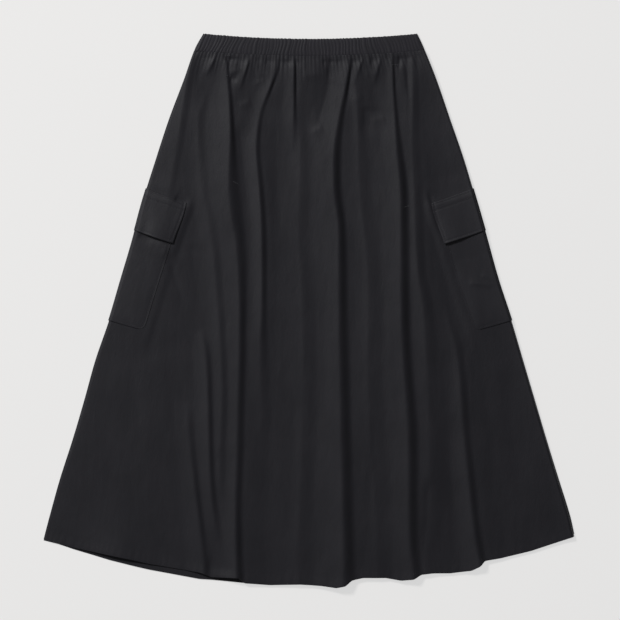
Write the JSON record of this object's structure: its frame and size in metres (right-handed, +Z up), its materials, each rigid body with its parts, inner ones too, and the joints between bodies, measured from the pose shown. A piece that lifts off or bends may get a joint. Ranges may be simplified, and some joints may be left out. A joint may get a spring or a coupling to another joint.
{
  "type": "flared skirt",
  "caption": "Flared midi skirt with a gathered elastic waistband and a flapped cargo pocket on each side seam, laid flat with its front up.",
  "frame": {"origin": "on the surface that the skirt lies on, under the middle of its length and width", "axes": "+X to the right of someone looking at the front, +Y from the hem to the waist, +Z up from the surface"},
  "size_m": [0.809, 0.8436, 0.0201],
  "materials": {
    "woven_black_panel": "matt plain-woven synthetic",
    "gathered_black_band": "matt plain-woven synthetic, gathered over elastic",
    "woven_black_pocket": "matt plain-woven synthetic, topstitched"
  },
  "bodies": {
    "root": {"waistband": "gathered_black_band", "front_panel": "woven_black_panel", "back_panel": "woven_black_panel", "pocket_left": "woven_black_pocket", "pocket_right": "woven_black_pocket", "flap_left": "woven_black_pocket", "flap_right": "woven_black_pocket"}
  },
  "joints": []
}
